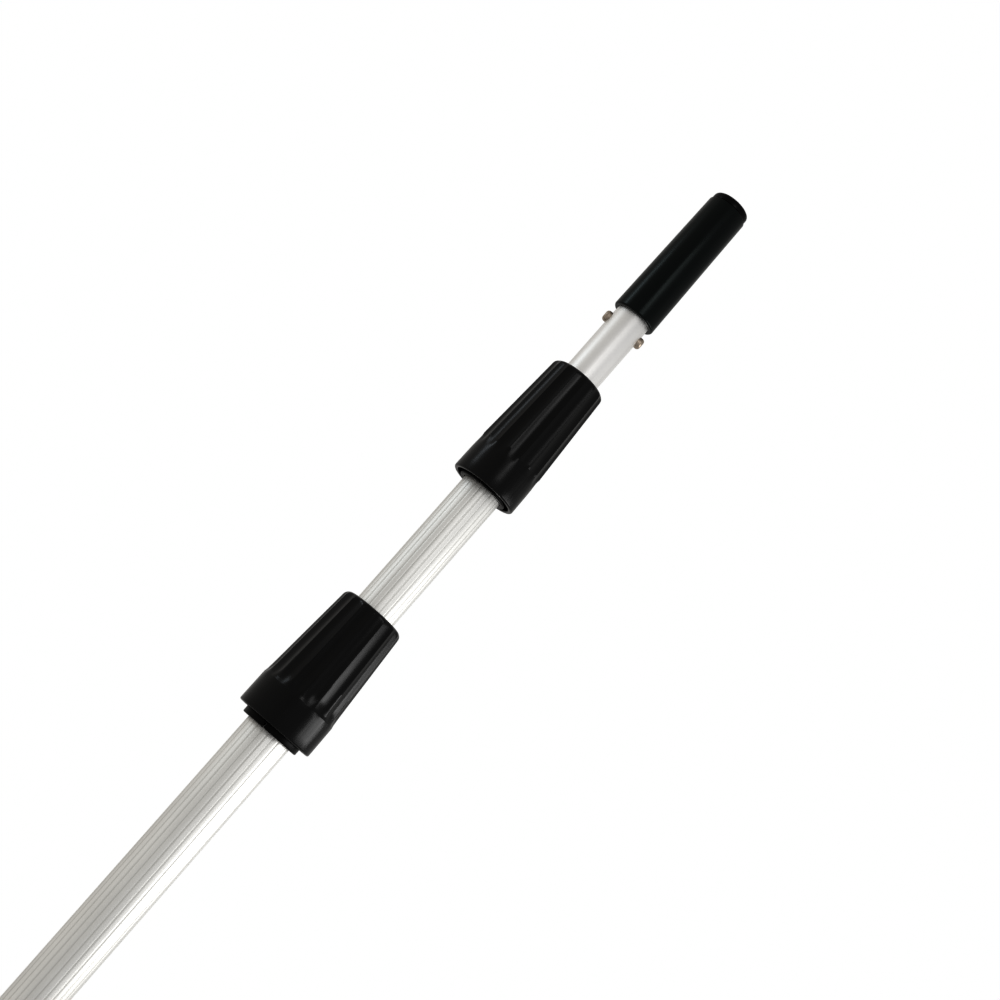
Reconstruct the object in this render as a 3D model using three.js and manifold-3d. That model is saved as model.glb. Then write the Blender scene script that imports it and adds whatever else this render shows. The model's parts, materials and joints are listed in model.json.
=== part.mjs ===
// Telescopic roller extension pole: three aluminium tubes that slide in each other, two
// twist-lock collars, and a tapered tip with snap buttons. It stands upright on its butt cap.
// Millimetres, +Z up along the pole. The origin is the centre of the butt cap's flat foot,
// and the snap buttons point along X.
import * as THREE from "three";
import { mergeVertices } from "three/addons/utils/BufferGeometryUtils.js";
import Module from "manifold-3d";

const wasm = await Module();
wasm.setup();

// Driving dimensions.
const TUBE_LENGTH = 610;
const WALL = 1.5;
const OUTER_R = 16.5;
const MIDDLE_R = 14.5;
const INNER_R = 12.5;
const BUTT_HEIGHT = 28;
const TUBE_IN_LOCK = 46;
const MIDDLE_SHOWN = 105.1;
const INNER_SHOWN = 55;
const TIP_LENGTH = 105;
const TUBE_IN_TIP = 60;

// Gaps between pieces that rest on each other, run in each other, or are fixed on each other.
const FACE_GAP = 0.3;
const RUN_GAP = 0.15;
const FIXED_GAP = 0.17;

// How far a cutter sticks out past the piece that it cuts.
const OVERSHOOT = 1;

// Facets round a full turn.
const TUBE_SIDES = 48;
const BORE_SIDES = 32;
const PLUG_SIDES = 24;
const BUTTON_SIDES = 16;
const PIN_SIDES = 12;

// Lengthwise grooves pressed into the two larger tubes.
const GROOVE = { depth: 0.2, width: 1.3 };
const OUTER_GROOVES = 24;
const MIDDLE_GROOVES = 22;

// Three-start thread inside each lock.
const THREAD = {
  starts: 3,
  lead: 12,
  height: 1.2,
  rootWidth: 2.0,
  crestWidth: 1.3,
  sunk: 0.4,
  clearance: 0.4,
  foot: 25,
  stepAngle: Math.PI / 8,
};
const PITCH = THREAD.lead / THREAD.starts;

// Twist lock. Heights are above the collar's bottom edge, with the collar screwed down.
const LOCK = {
  skirtWall: 3,
  skirtHollow: 20,
  boreFoot: 22,
  boreTop: 52,
  chamberFoot: 53,
  chamberTop: 82,
  chamberDepth: 4.3,
  mouthGap: 0.5,
  edge: 0.8,
  ribStep: 2,
};
const FLUTE = { count: 16, cutterR: 11.7, footDepth: 0.7, topDepth: 1.5 };
const FERRULE = { wall: 2.3, flangeHeight: 6, top: 50.5, seatWall: 0.9, edge: 0.6 };
const SLOT = { width: 1.6, height: 3, turn: -0.26 };
const COLLET = {
  gap: 0.13, flange: 3, footWall: 2.6, tipWall: 1.5, top: 79, slits: 6, slitWidth: 2.4, slitFoot: 52,
};
const WEDGE = { foot: 57, gap: 0.25, keyWidth: 1.6, keyGap: 0.6, keyInset: 1 };
const FERRULE_PIN_Z = 14;

// firstFlute is how far the first flute is turned from X, in flute steps.
const LOWER = {
  name: "lower", tubeR: OUTER_R, innerR: MIDDLE_R, length: 95, skirtHeight: 23, skirtR: 28,
  skirtTopR: 27.8, ribR: 27.45, topR: 22.9, rimRound: 5, flangeR: 21.25, flangeZ: -4.4,
  fluteFoot: 24, firstFlute: 0.5,
};
const UPPER = {
  name: "upper", tubeR: MIDDLE_R, innerR: INNER_R, length: 97.5, skirtHeight: 26, skirtR: 23.9,
  skirtTopR: 23.75, ribR: 24.4, topR: 20.8, rimRound: 5.5, flangeR: 18.2, flangeZ: -1,
  fluteFoot: 20.5, firstFlute: 0,
};

// Cross pins.
const PIN = { r: 1.5, holeR: 1.65, shortOf: 0.4 };

// Guide plug in the foot of each sliding tube, and the split ring in its groove.
const PLUG = {
  inTube: 30, head: 60, land: 6, landGap: 0.18, relief: 1, groove: 2.2, bore: 0.72, leadIn: 1,
};
const RING = { top: -30, height: 8, gap: 0.12, backGap: 0.2, split: 2 };

// Snap buttons, tip and butt.
const BUTTON = {
  r: 4, holeR: 4.3, flangeR: 5, flangeX: 8.4, flangeThick: 1, tipX: 16, dome: 2.2, belowTip: 10.1,
};
const SPRING = { legX: 7.8, thick: 0.7, width: 7, below: 30, above: 6 };
const TIP = {
  footR: 15.7, topR: 14.45, footRound: 1.2, edge: 0.8, capThick: 5.3, capR: 13.65, capRound: 2.2,
  spigotR: 9.2, spigot: 20, spigotEdge: 1,
};
const RIVET = { z: 14, tail: 0.5, headR: 2.8, headThick: 1, headEdge: 0.5 };
const BUTT = { r: 19.2, round: 2, holeR: 4.5, holeZ: 14, spigot: 32, spigotEdge: 1 };
const GRIP = { r: 19.2, bottom: 28.3, length: 180, round: 1.6 };

// Heights and bores that follow from them.
const LOWER_LOCK_Z = BUTT_HEIGHT + TUBE_LENGTH - TUBE_IN_LOCK;
const UPPER_LOCK_Z = LOWER_LOCK_Z + LOWER.length + MIDDLE_SHOWN;
const TIP_Z = UPPER_LOCK_Z + UPPER.length + INNER_SHOWN;
const MIDDLE_BOTTOM = UPPER_LOCK_Z + TUBE_IN_LOCK - TUBE_LENGTH;
const INNER_BOTTOM = TIP_Z + TUBE_IN_TIP - TUBE_LENGTH;
const OUTER_BORE = OUTER_R - WALL;
const MIDDLE_BORE = MIDDLE_R - WALL;

const material = (color, roughness, metalness = 0) =>
  new THREE.MeshStandardMaterial({ color, roughness, metalness });
const MATERIAL = {
  collar: material(0x0b0b0c, 0.38),
  tip: material(0x0c0d0d, 0.42),
  cap: material(0x101010, 0.5),
  grip: material(0x151515, 0.85),
  ferrule: material(0x0e0e0e, 0.45),
  acetal: material(0xe6e2d8, 0.4),
  nylon: material(0x8a8c8c, 0.5),
  fluted: material(0xcfcbc2, 0.34, 1),
  smooth: material(0xd9d7d2, 0.24, 1),
  button: material(0x8f7c68, 0.42, 1),
  steel: material(0xb4b6b8, 0.35, 1),
};

const named = (name, geometry, look) => {
  const mesh = new THREE.Mesh(geometry, look);
  mesh.name = name;
  return mesh;
};

const placed = (z, ...children) => {
  const group = new THREE.Group();
  group.position.z = z;
  group.add(...children);
  return group;
};

const copies = (count, make) => Array.from({ length: count }, (_, i) => make(i));
const turnShare = (i, count) => (i * 2 * Math.PI) / count;

// A closed geometry as a solid that can be joined and cut.
function solid(geometry) {
  const bare = new THREE.BufferGeometry().setAttribute("position", geometry.attributes.position);
  bare.setIndex(geometry.index);
  const merged = mergeVertices(bare, 1e-4);
  const vertProperties = merged.attributes.position.array;
  const triVerts = Uint32Array.from(merged.index.array);
  return new wasm.Manifold(new wasm.Mesh({ numProp: 3, vertProperties, triVerts }));
}

function geometryOf(body) {
  const mesh = body.getMesh();
  const geometry = new THREE.BufferGeometry();
  geometry.setAttribute("position", new THREE.BufferAttribute(mesh.vertProperties, 3));
  geometry.setIndex(new THREE.BufferAttribute(mesh.triVerts, 1));
  geometry.computeVertexNormals();
  return geometry;
}

const joined = (geometry, additions) =>
  geometryOf(additions.reduce((body, extra) => body.add(solid(extra)), solid(geometry)));
const cut = (geometry, cutters) =>
  geometryOf(cutters.reduce((body, cutter) => body.subtract(solid(cutter)), solid(geometry)));

// A body of revolution about Z, from [radius, height] points anticlockwise round its section.
const turned = (profile, sides = BORE_SIDES) =>
  new THREE.LatheGeometry(profile.map(([r, z]) => new THREE.Vector2(r, z)), sides).rotateX(Math.PI / 2);

// The same for a ring-shaped section, which closes on itself.
const turnedRing = (profile, sides) => turned([...profile, profile[0]], sides);

// Profile points of a rounded top rim (up = 1) or bottom rim (up = -1).
function roundedRim(r, z, radius, count, up = 1) {
  const points = [];
  for (let i = 0; i <= count; i++) {
    const a = (Math.PI / 2) * (i / count);
    points.push([r - radius + radius * Math.cos(a), z - up * (radius - radius * Math.sin(a))]);
  }
  return up > 0 ? points : points.reverse();
}

// A round bar at height z, along X or Y between two positions.
function barAlongX(radius, from, to, z, sides = PIN_SIDES) {
  return new THREE.CylinderGeometry(radius, radius, to - from, sides)
    .rotateZ(Math.PI / 2)
    .translate((from + to) / 2, 0, z);
}
const barAlongY = (radius, from, to, z, sides) =>
  barAlongX(radius, from, to, z, sides).rotateZ(Math.PI / 2);

// A cutter that goes right through a body of radius r.
const drillAlongX = (holeR, r, z) => barAlongX(holeR, -r - OVERSHOOT, r + OVERSHOOT, z);

// Joins equal loops of points into a closed body with flat ends, faces pointing out.
function loft(loops) {
  const count = loops[0].length;
  const index = [];
  for (let i = 0; i + 1 < loops.length; i++) {
    for (let j = 0; j < count; j++) {
      const [a, b] = [i * count + j, i * count + ((j + 1) % count)];
      index.push(a, b, a + count, b, b + count, a + count);
    }
  }
  const last = (loops.length - 1) * count;
  for (let j = 1; j + 1 < count; j++) index.push(0, j + 1, j, last, last + j, last + j + 1);
  const geometry = new THREE.BufferGeometry().setFromPoints(loops.flat());
  geometry.setIndex(index);
  if (solid(geometry).volume() < 0) geometry.setIndex(index.reverse());
  return geometry;
}

// One start of a helical thread on a wall of radius wallR. side is 1 outside a shaft, -1 in a bore.
function threadRib(wallR, side, z, startAngle, turn) {
  const steps = Math.ceil(turn / THREAD.stepAngle);
  const root = wallR - side * THREAD.sunk;
  const crest = wallR + side * THREAD.height;
  const loops = [];
  for (let i = 0; i <= steps; i++) {
    const swept = (turn * i) / steps;
    const angle = startAngle + swept;
    const middle = z + (THREAD.lead * swept) / (2 * Math.PI);
    const section = [
      [root, middle - THREAD.rootWidth / 2],
      [crest, middle - THREAD.crestWidth / 2],
      [crest, middle + THREAD.crestWidth / 2],
      [root, middle + THREAD.rootWidth / 2],
    ];
    loops.push(section.map(([r, h]) => new THREE.Vector3(r * Math.cos(angle), r * Math.sin(angle), h)));
  }
  return loft(loops);
}

const threadRibs = (wallR, side, z, turn) =>
  copies(THREAD.starts, (i) => threadRib(wallR, side, z, turnShare(i, THREAD.starts), turn));

// Tubes. Height 0 is the foot of the tube.

function groovedOutline(radius, grooves) {
  const half = GROOVE.width / 2 / radius;
  const points = [];
  for (let i = 0; i < grooves; i++) {
    const centre = turnShare(i, grooves);
    for (const [offset, r] of [[-half, radius], [0, radius - GROOVE.depth], [half, radius]]) {
      points.push(new THREE.Vector2(r * Math.cos(centre + offset), r * Math.sin(centre + offset)));
    }
  }
  return new THREE.Shape(points);
}

function tube(outline, radius) {
  outline.holes.push(new THREE.Path().absarc(0, 0, radius - WALL, 0, 2 * Math.PI, true));
  return new THREE.ExtrudeGeometry(outline, {
    depth: TUBE_LENGTH, bevelEnabled: false, curveSegments: TUBE_SIDES / 2,
  });
}

// A grooved tube with a cross pin near each end: one through what fills its foot, one in its lock.
const groovedTube = (radius, grooves, footPinZ) =>
  cut(tube(groovedOutline(radius, grooves), radius), [
    drillAlongX(PIN.holeR, radius, footPinZ),
    drillAlongX(PIN.holeR, radius, TUBE_LENGTH - TUBE_IN_LOCK + FERRULE_PIN_Z),
  ]);

function innerTube() {
  const tipFoot = TUBE_LENGTH - TUBE_IN_TIP;
  const outline = new THREE.Shape().absarc(0, 0, INNER_R, 0, 2 * Math.PI);
  return cut(tube(outline, INNER_R), [
    drillAlongX(PIN.holeR, INNER_R, PLUG.inTube / 2),
    drillAlongX(BUTTON.holeR, INNER_R, tipFoot - BUTTON.belowTip),
    barAlongY(PIN.holeR, 0, INNER_R + OVERSHOOT, tipFoot + RIVET.z),
  ]);
}

// Twist lock. Height 0 is the collar's bottom edge.

const threadWallR = (lock) => lock.tubeR + FERRULE.wall;
const collarBoreR = (lock) => threadWallR(lock) + THREAD.height + THREAD.clearance;
const chamberR = (lock) => lock.innerR + LOCK.chamberDepth;
const colletFoot = TUBE_IN_LOCK + FACE_GAP;

// Outside radius of the collet's fingers, which taper towards their tips.
function fingerR(lock, z) {
  const shoulder = colletFoot + COLLET.flange;
  const share = (z - shoulder) / (COLLET.top - shoulder);
  return lock.innerR + THREE.MathUtils.lerp(COLLET.footWall, COLLET.tipWall, share);
}

// Radius of the collar's rib crests above the skirt.
const crestR = (lock, z) => THREE.MathUtils.lerp(
  lock.ribR, lock.topR, (z - lock.skirtHeight) / (lock.length - lock.skirtHeight));

// Round-nosed cutters for the flutes, which start shallow near the skirt's top and deepen to the rim.
function fluteCutters(lock) {
  const nose = Math.sqrt(2 * FLUTE.cutterR * FLUTE.footDepth);
  const foot = lock.fluteFoot + nose;
  const footAxisR = crestR(lock, foot) + FLUTE.cutterR - FLUTE.footDepth;
  const topAxisR = lock.topR + FLUTE.cutterR - FLUTE.topDepth;
  const taper = Math.atan2(footAxisR - topAxisR, lock.length - foot);
  const reach = 2 * (lock.length - foot);
  return copies(FLUTE.count, (i) =>
    new THREE.CapsuleGeometry(FLUTE.cutterR, reach, 4, 20)
      .translate(0, reach / 2, 0)
      .rotateX(Math.PI / 2)
      .rotateY(-taper)
      .translate(footAxisR, 0, foot)
      .rotateZ(turnShare(i + lock.firstFlute, FLUTE.count)));
}

function lockCollar(lock) {
  const bore = collarBoreR(lock);
  const mouth = lock.innerR + LOCK.mouthGap;
  const outside = [
    [0, 0],
    [lock.skirtR - LOCK.edge, 0],
    [lock.skirtR, LOCK.edge],
    [lock.skirtTopR, lock.skirtHeight],
    [crestR(lock, lock.skirtHeight + LOCK.ribStep), lock.skirtHeight + LOCK.ribStep],
    ...roundedRim(lock.topR, lock.length, lock.rimRound, 3),
    [0, lock.length],
  ];
  const hollow = [
    [0, -OVERSHOOT],
    [lock.skirtR - LOCK.skirtWall, -OVERSHOOT],
    [lock.skirtR - LOCK.skirtWall, LOCK.skirtHollow],
    [bore, LOCK.boreFoot],
    [bore, LOCK.boreTop],
    [chamberR(lock), LOCK.chamberFoot],
    [chamberR(lock), LOCK.chamberTop],
    [mouth, LOCK.chamberTop],
    [mouth, lock.length + OVERSHOOT],
    [0, lock.length + OVERSHOOT],
  ];
  const shell = cut(turned(outside, TUBE_SIDES), [turned(hollow), ...fluteCutters(lock)]);
  return joined(shell, threadRibs(bore, -1, THREAD.foot + PITCH / 2, Math.PI));
}

// A threaded sleeve fixed on the tube's end, with a flange under the collar and a slot through it.
function ferrule(lock) {
  const wall = threadWallR(lock);
  const bore = lock.tubeR + FIXED_GAP;
  const seat = wall - FERRULE.seatWall;
  const shoulder = lock.flangeZ + FERRULE.flangeHeight;
  const profile = [
    [bore, lock.flangeZ],
    [lock.flangeR - FERRULE.edge, lock.flangeZ],
    [lock.flangeR, lock.flangeZ + FERRULE.edge],
    [lock.flangeR, shoulder],
    [wall, shoulder],
    [wall, FERRULE.top],
    [seat, FERRULE.top],
    [seat, TUBE_IN_LOCK],
    [bore, TUBE_IN_LOCK],
  ];
  const sleeve = joined(turnedRing(profile), threadRibs(wall, 1, THREAD.foot, 1.5 * Math.PI));
  const slot = new THREE.BoxGeometry(SLOT.width, lock.flangeR, 2 * SLOT.height)
    .translate(0, -lock.flangeR / 2 - OVERSHOOT, lock.flangeZ)
    .rotateZ(SLOT.turn);
  return cut(sleeve, [drillAlongX(PIN.holeR, lock.flangeR, FERRULE_PIN_Z), slot]);
}

// Split fingers that the wedge ring squeezes onto the smaller tube.
function collet(lock) {
  const bore = lock.innerR + COLLET.gap;
  const flangeR = threadWallR(lock) - FERRULE.seatWall - COLLET.gap;
  const shoulder = colletFoot + COLLET.flange;
  const profile = [
    [bore, colletFoot],
    [flangeR, colletFoot],
    [flangeR, shoulder],
    [fingerR(lock, shoulder), shoulder],
    [fingerR(lock, COLLET.top), COLLET.top],
    [bore, COLLET.top],
  ];
  const height = COLLET.top + OVERSHOOT - COLLET.slitFoot;
  const slits = copies(COLLET.slits / 2, (i) =>
    new THREE.BoxGeometry(4 * lock.innerR, COLLET.slitWidth, height)
      .translate(0, 0, COLLET.slitFoot + height / 2)
      .rotateZ(turnShare(i, COLLET.slits)));
  return cut(turnedRing(profile), slits);
}

// Its cone closes the collet's fingers, and two keys in their slits stop it turning.
function wedgeRing(lock) {
  const top = LOCK.chamberTop - FACE_GAP;
  const outside = chamberR(lock) - WEDGE.gap;
  const profile = [
    [fingerR(lock, WEDGE.foot) + WEDGE.gap, WEDGE.foot],
    [outside, WEDGE.foot],
    [outside, top],
    [fingerR(lock, COLLET.top) + WEDGE.gap, top],
    [fingerR(lock, COLLET.top) + WEDGE.gap, COLLET.top],
  ];
  const keyFoot = WEDGE.foot + WEDGE.keyInset;
  const keyHeight = COLLET.top - WEDGE.keyInset - keyFoot;
  const [keyInner, keyOuter] = [lock.innerR + WEDGE.keyGap, fingerR(lock, WEDGE.foot) + WEDGE.keyInset];
  const keys = [-1, 1].map((side) =>
    new THREE.BoxGeometry(keyOuter - keyInner, WEDGE.keyWidth, keyHeight)
      .translate((side * (keyInner + keyOuter)) / 2, 0, keyFoot + keyHeight / 2));
  return joined(turnedRing(profile), keys);
}

// Short pins that hold the ferrule on its tube. They stop short of the tube's bore.
function ferrulePin(lock, side) {
  const inner = lock.tubeR - WALL + FACE_GAP;
  const outer = threadWallR(lock) - PIN.shortOf;
  return side > 0
    ? barAlongX(PIN.r, inner, outer, FERRULE_PIN_Z)
    : barAlongX(PIN.r, -outer, -inner, FERRULE_PIN_Z);
}

const fixedLockParts = (lock) => [
  named(`${lock.name}_ferrule`, ferrule(lock), MATERIAL.ferrule),
  named(`${lock.name}_ferrule_pin_right`, ferrulePin(lock, 1), MATERIAL.steel),
  named(`${lock.name}_ferrule_pin_left`, ferrulePin(lock, -1), MATERIAL.steel),
  named(`${lock.name}_collet`, collet(lock), MATERIAL.acetal),
];

const turningLockParts = (lock) => [
  named(`${lock.name}_wedge_ring`, wedgeRing(lock), MATERIAL.nylon),
  named(`${lock.name}_lock_collar`, lockCollar(lock), MATERIAL.collar),
];

// Guide plugs. Height 0 is the foot of the tube that the plug closes.

function guidePlug(tubeR, boreR) {
  const spigot = tubeR - WALL - RUN_GAP;
  const land = boreR - PLUG.landGap;
  const relief = tubeR - PLUG.relief;
  const groove = tubeR - PLUG.groove;
  const bore = tubeR * PLUG.bore;
  const ringFoot = RING.top - RING.height;
  const profile = [
    [bore, -PLUG.head],
    [land, -PLUG.head],
    [land, -PLUG.head + PLUG.land],
    [relief, -PLUG.head + PLUG.land],
    [relief, ringFoot],
    [groove, ringFoot],
    [groove, RING.top],
    [relief, RING.top],
    [relief, -PLUG.land - FACE_GAP],
    [land, -PLUG.land - FACE_GAP],
    [land, -FACE_GAP],
    [spigot, -FACE_GAP],
    [spigot, PLUG.inTube - PLUG.leadIn],
    [spigot - PLUG.leadIn, PLUG.inTube],
    [bore, PLUG.inTube],
  ];
  return cut(turnedRing(profile, PLUG_SIDES), [drillAlongX(PIN.holeR, tubeR, PLUG.inTube / 2)]);
}

// A split ring that sits in the plug's groove and runs on the bore of the larger tube.
function guideRing(tubeR, boreR) {
  const [inside, outside] = [tubeR - PLUG.groove + RING.backGap, boreR - RING.gap];
  const [foot, top] = [RING.top - RING.height + FACE_GAP, RING.top - FACE_GAP];
  const profile = [[inside, foot], [outside, foot], [outside, top], [inside, top]];
  const split = new THREE.BoxGeometry(RING.split, 2 * PLUG.groove, 2 * RING.height)
    .translate(0, (inside + outside) / 2, (foot + top) / 2);
  return cut(turnedRing(profile), [split]);
}

const throughPin = (tubeR, z) => barAlongX(PIN.r, PIN.shortOf - tubeR, tubeR - PIN.shortOf, z);

// Tip. Height 0 is the tip cone's foot.

function tipCone() {
  const top = TIP_LENGTH - TIP.capThick - FACE_GAP;
  const socket = INNER_R + FIXED_GAP;
  const spigotHole = TIP.spigotR + RUN_GAP;
  const profile = [
    [socket, 0],
    ...roundedRim(TIP.footR, 0, TIP.footRound, 2, -1),
    [TIP.topR, top - TIP.edge],
    [TIP.topR - TIP.edge, top],
    [spigotHole, top],
    [spigotHole, TUBE_IN_TIP + FACE_GAP],
    [socket, TUBE_IN_TIP + FACE_GAP],
  ];
  return cut(turnedRing(profile), [barAlongY(PIN.holeR, 0, TIP.footR + OVERSHOOT, RIVET.z)]);
}

function tipCap() {
  const under = TIP_LENGTH - TIP.capThick;
  return turned([
    [0, under - TIP.spigot],
    [TIP.spigotR - TIP.spigotEdge, under - TIP.spigot],
    [TIP.spigotR, under - TIP.spigot + TIP.spigotEdge],
    [TIP.spigotR, under],
    [TIP.capR, under],
    ...roundedRim(TIP.capR, TIP_LENGTH, TIP.capRound, 2),
    [0, TIP_LENGTH],
  ]);
}

// A blind rivet through the back of the tip cone and the tube inside it.
function tipRivet() {
  const tail = INNER_R - WALL - RIVET.tail;
  const [face, crown] = [TIP.footR, TIP.footR + RIVET.headThick];
  const profile = [
    [0, tail],
    [PIN.r, tail],
    [PIN.r, face],
    [RIVET.headR, face],
    [RIVET.headR - RIVET.headEdge, crown - RIVET.headEdge],
    [0, crown],
  ];
  return turned(profile, PIN_SIDES).rotateX(-Math.PI / 2).translate(0, 0, RIVET.z);
}

// Snap button: a domed peg with a flange that bears on the inside of the tube.
function snapButton(side) {
  const flangeTop = BUTTON.flangeX + BUTTON.flangeThick;
  const profile = [
    [0, BUTTON.flangeX],
    [BUTTON.flangeR, BUTTON.flangeX],
    [BUTTON.flangeR, flangeTop],
    [BUTTON.r, flangeTop],
    ...roundedRim(BUTTON.r, BUTTON.tipX, BUTTON.dome, 3),
    [0, BUTTON.tipX],
  ];
  return turned(profile, BUTTON_SIDES).rotateY((side * Math.PI) / 2).translate(0, 0, -BUTTON.belowTip);
}

// A hairpin of flat spring steel: a leg behind each button and a round bend below them.
function buttonSpring() {
  const [inside, outside] = [SPRING.legX - SPRING.thick / 2, SPRING.legX + SPRING.thick / 2];
  const [top, bend] = [SPRING.above - BUTTON.belowTip, -SPRING.below - BUTTON.belowTip];
  const shape = new THREE.Shape();
  shape.moveTo(outside, top);
  shape.lineTo(inside, top);
  shape.lineTo(inside, bend);
  shape.absarc(0, bend, inside, 0, -Math.PI, true);
  shape.lineTo(-inside, top);
  shape.lineTo(-outside, top);
  shape.lineTo(-outside, bend);
  shape.absarc(0, bend, outside, -Math.PI, 0, false);
  shape.lineTo(outside, top);
  return new THREE.ExtrudeGeometry(shape, { depth: SPRING.width, bevelEnabled: false, curveSegments: 8 })
    .rotateX(Math.PI / 2)
    .translate(0, SPRING.width / 2, 0);
}

// Butt end.

const buttPinZ = BUTT_HEIGHT + BUTT.spigot / 2;

function buttCap() {
  const spigot = OUTER_BORE - RUN_GAP;
  const top = BUTT_HEIGHT - FACE_GAP;
  const profile = [
    [0, 0],
    ...roundedRim(BUTT.r, 0, BUTT.round, 3, -1),
    [BUTT.r, top],
    [spigot, top],
    [spigot, BUTT_HEIGHT + BUTT.spigot - BUTT.spigotEdge],
    [spigot - BUTT.spigotEdge, BUTT_HEIGHT + BUTT.spigot],
    [0, BUTT_HEIGHT + BUTT.spigot],
  ];
  return cut(turned(profile), [
    barAlongY(BUTT.holeR, -BUTT.r - OVERSHOOT, BUTT.r + OVERSHOOT, BUTT.holeZ, PLUG_SIDES),
    drillAlongX(PIN.holeR, spigot, buttPinZ),
  ]);
}

function handGrip() {
  const bore = OUTER_R + FIXED_GAP;
  return turnedRing([
    [bore, 0],
    ...roundedRim(GRIP.r, 0, GRIP.round, 2, -1),
    ...roundedRim(GRIP.r, GRIP.length, GRIP.round, 2),
    [bore, GRIP.length],
  ]);
}

// The sections, from the hand up to the tool.
const pole = new THREE.Group();
pole.add(
  named("butt_cap", buttCap(), MATERIAL.cap),
  named("butt_cap_pin", throughPin(OUTER_R, buttPinZ), MATERIAL.steel),
  placed(GRIP.bottom, named("hand_grip", handGrip(), MATERIAL.grip)),
  placed(
    BUTT_HEIGHT,
    named("outer_tube", groovedTube(OUTER_R, OUTER_GROOVES, BUTT.spigot / 2), MATERIAL.fluted),
  ),
  placed(LOWER_LOCK_Z, ...fixedLockParts(LOWER), ...turningLockParts(LOWER)),
  placed(
    MIDDLE_BOTTOM,
    named("middle_tube", groovedTube(MIDDLE_R, MIDDLE_GROOVES, PLUG.inTube / 2), MATERIAL.fluted),
    named("middle_guide_plug", guidePlug(MIDDLE_R, OUTER_BORE), MATERIAL.nylon),
    named("middle_plug_pin", throughPin(MIDDLE_R, PLUG.inTube / 2), MATERIAL.steel),
    named("middle_guide_ring", guideRing(MIDDLE_R, OUTER_BORE), MATERIAL.acetal),
  ),
  placed(UPPER_LOCK_Z, ...fixedLockParts(UPPER), ...turningLockParts(UPPER)),
  placed(
    INNER_BOTTOM,
    named("inner_tube", innerTube(), MATERIAL.smooth),
    named("inner_guide_plug", guidePlug(INNER_R, MIDDLE_BORE), MATERIAL.nylon),
    named("inner_plug_pin", throughPin(INNER_R, PLUG.inTube / 2), MATERIAL.steel),
    named("inner_guide_ring", guideRing(INNER_R, MIDDLE_BORE), MATERIAL.acetal),
  ),
  placed(
    TIP_Z,
    named("tip_cone", tipCone(), MATERIAL.tip),
    named("tip_cap", tipCap(), MATERIAL.cap),
    named("tip_rivet", tipRivet(), MATERIAL.steel),
    named("right_snap_button", snapButton(1), MATERIAL.button),
    named("left_snap_button", snapButton(-1), MATERIAL.button),
    named("button_spring", buttonSpring(), MATERIAL.steel),
  ),
);

export default pole;
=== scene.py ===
"""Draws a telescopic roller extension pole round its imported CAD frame.

The pole stands upright on the Z axis, so almost every piece is a body of revolution about Z.
Lengths written in millimetres are turned into metres by MM.
"""
import json
import math
from dataclasses import dataclass

import bmesh
import bpy
from mathutils import Matrix, Quaternion, Vector


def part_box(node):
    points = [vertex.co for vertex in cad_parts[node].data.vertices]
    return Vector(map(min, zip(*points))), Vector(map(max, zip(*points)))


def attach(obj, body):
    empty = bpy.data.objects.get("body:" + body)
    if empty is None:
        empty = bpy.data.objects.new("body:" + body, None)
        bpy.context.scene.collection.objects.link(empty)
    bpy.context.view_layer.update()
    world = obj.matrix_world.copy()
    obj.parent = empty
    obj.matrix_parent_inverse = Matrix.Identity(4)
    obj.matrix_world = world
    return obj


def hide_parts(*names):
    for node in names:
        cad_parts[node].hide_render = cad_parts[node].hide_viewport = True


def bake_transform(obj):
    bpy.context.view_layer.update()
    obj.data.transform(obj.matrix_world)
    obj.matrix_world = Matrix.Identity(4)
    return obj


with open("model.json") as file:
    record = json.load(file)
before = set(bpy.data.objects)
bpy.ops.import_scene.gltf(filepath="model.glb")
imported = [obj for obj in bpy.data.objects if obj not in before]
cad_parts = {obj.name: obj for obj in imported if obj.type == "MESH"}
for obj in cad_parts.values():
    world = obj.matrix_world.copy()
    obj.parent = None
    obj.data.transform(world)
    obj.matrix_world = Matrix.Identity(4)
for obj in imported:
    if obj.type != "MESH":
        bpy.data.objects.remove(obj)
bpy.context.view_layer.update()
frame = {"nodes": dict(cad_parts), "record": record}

MM = 0.001
FULL_TURN = 2 * math.pi
RECORD = frame["record"]
BODY = {node: body for body, nodes in RECORD["behaviour"]["bodies"].items() for node in nodes}
SLOT = {part["node"]: part["material_slot"] for part in RECORD["subparts"]}


# Camera -----------------------------------------------------------------------------------

FOCAL_LENGTH = 64.1
CAMERA_DISTANCE = 1123 * MM
CAMERA_BELOW_AIM = 217 * MM
AIM_ABOVE_UPPER_COLLAR = 2.5 * MM
AIM_ASIDE = 12.74 * MM
POLE_LEAN = math.radians(41.19)


def add_camera():
    """Looks up at the upper collar from the front, rolled so that the pole leans to the right."""
    aim = Vector((AIM_ASIDE, 0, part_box("upper_lock_collar")[0].z + AIM_ABOVE_UPPER_COLLAR))
    camera = bpy.data.objects.new("camera", bpy.data.cameras.new("camera"))
    camera.data.lens = FOCAL_LENGTH
    camera.location = (0, -CAMERA_DISTANCE, aim.z - CAMERA_BELOW_AIM)
    level = (aim - camera.location).to_track_quat("-Z", "Y")
    camera.rotation_euler = (level @ Quaternion((0, 0, 1), POLE_LEAN)).to_euler()
    bpy.context.scene.collection.objects.link(camera)
    bpy.context.scene.camera = camera


# Mesh helpers -----------------------------------------------------------------------------

SHARP_ANGLE = math.radians(35)
ON_AXIS = 1e-7


def extent(node):
    """A CAD node's lowest height, highest height and outside radius."""
    low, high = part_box(node)
    return low.z, high.z, (high.x - low.x) / 2


def stations(low, high, count):
    """Values from low to high in a count of equal steps, with both ends."""
    return [low + (high - low) * i / count for i in range(count + 1)]


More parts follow.
